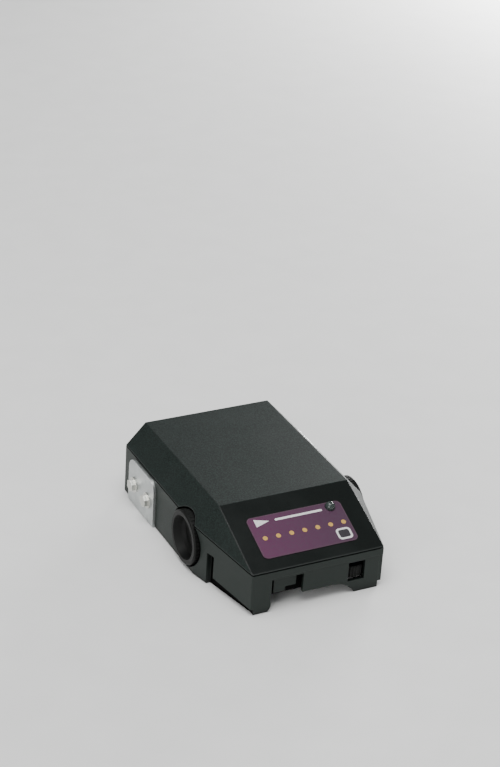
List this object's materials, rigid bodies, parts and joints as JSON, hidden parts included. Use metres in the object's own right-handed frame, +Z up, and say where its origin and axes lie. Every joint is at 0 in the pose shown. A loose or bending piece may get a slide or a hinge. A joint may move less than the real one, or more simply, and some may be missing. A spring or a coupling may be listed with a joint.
{
  "type": "trailer brake controller unit",
  "caption": "Wedge-nosed electronic trailer brake controller with a sliding manual knob, gain thumbwheel, side level dials, level lamp, steel bracket and short flying leads.",
  "frame": {"origin": "middle of the footprint, on the surface that the unit rests on", "axes": "+Z up, +Y from the nose with the label to the rear wall with the leads, +X to the right as seen from the nose"},
  "size_m": [0.0972, 0.1678, 0.0375],
  "materials": {
    "cover_plastic": "fine grain",
    "housing_plastic": "fine grain",
    "shutter_plastic": "satin",
    "dial_plastic": "satin",
    "label_film": "satin film",
    "lamp_lens": "tinted",
    "tinned_wire": "tinned",
    "steel_bright": "machined",
    "inner_nylon": "moulded",
    "bob_brass": "turned",
    "board_green": "solder mask",
    "pot_body": "moulded",
    "bracket_zinc": "galvanised",
    "screw_zinc": "zinc plated",
    "sink_aluminium": "extruded",
    "chip_epoxy": "moulded",
    "capacitor_sleeve": "shrink sleeve",
    "shunt_alloy": "drawn",
    "grommet_rubber": "moulded",
    "wire_blue": "extruded",
    "wire_black": "extruded",
    "wire_red": "extruded",
    "wire_white": "extruded",
    "tie_nylon": "moulded"
  },
  "bodies": {
    "casing": {"black_lead": "wire_black", "blue_lead": "wire_blue", "board_screws": "screw_zinc", "bracket_screws": "screw_zinc", "coil_tie": "tie_nylon", "control_bay": "housing_plastic", "control_chips": "chip_epoxy", "cover_screws": "screw_zinc", "current_shunt": "shunt_alloy", "dial_cups": "housing_plastic", "dial_friction_rings": "steel_bright", "face_label": "label_film", "flyback_diode": "chip_epoxy", "gain_potentiometer": "pot_body", "heat_sink": "sink_aluminium", "lamp_leads": "tinned_wire", "lead_coil": "wire_black", "lead_grommet": "grommet_rubber", "level_lamp": "lamp_lens", "lower_housing": "housing_plastic", "main_circuit_board": "board_green", "mounting_bracket": "bracket_zinc", "nose_circuit_board": "board_green", "power_transistors": "chip_epoxy", "red_lead": "wire_red", "slide_potentiometer": "pot_body", "slide_return_spring": "steel_bright", "smoothing_capacitors": "capacitor_sleeve", "solder_terminals": "tinned_wire", "top_cover": "cover_plastic", "transistor_screws": "screw_zinc", "white_lead": "wire_white"},
    "slide": {"manual_slide_knob": "housing_plastic", "slide_dust_shutter": "shutter_plastic", "slide_carriage": "inner_nylon"},
    "gain_wheel": {"gain_thumbwheel": "dial_plastic", "gain_shaft": "steel_bright"},
    "level": {"level_dial_left": "dial_plastic", "level_dial_right": "dial_plastic", "dial_shafts": "steel_bright", "dial_retaining_clips": "steel_bright", "level_cradle": "inner_nylon", "pendulum_pin": "steel_bright", "motion_sensor": "board_green"},
    "pendulum": {"pendulum_arm": "inner_nylon", "pendulum_bob": "bob_brass"}
  },
  "joints": [
    {"name": "manual_slide", "type": "slide", "parent": "casing", "child": "slide", "axis": [1, 0, 0], "range_m": [0, 0.012], "stiffness_N_per_m": 60, "springref_m": -0.01, "deforming": ["slide_return_spring"]},
    {"name": "gain_turn", "type": "hinge", "parent": "casing", "child": "gain_wheel", "pos_m": [0.0208, -0.053, 0.0105], "axis": [0, 0, 1], "range_deg": [-135, 135]},
    {"name": "level_turn", "type": "hinge", "parent": "casing", "child": "level", "pos_m": [0, -0.011, 0.0151], "axis": [1, 0, 0], "range_deg": [-20, 70]},
    {"name": "pendulum_swing", "type": "hinge", "parent": "level", "child": "pendulum", "pos_m": [0, -0.011, 0.0207], "axis": [1, 0, 0], "range_deg": [-12, 12]}
  ]
}
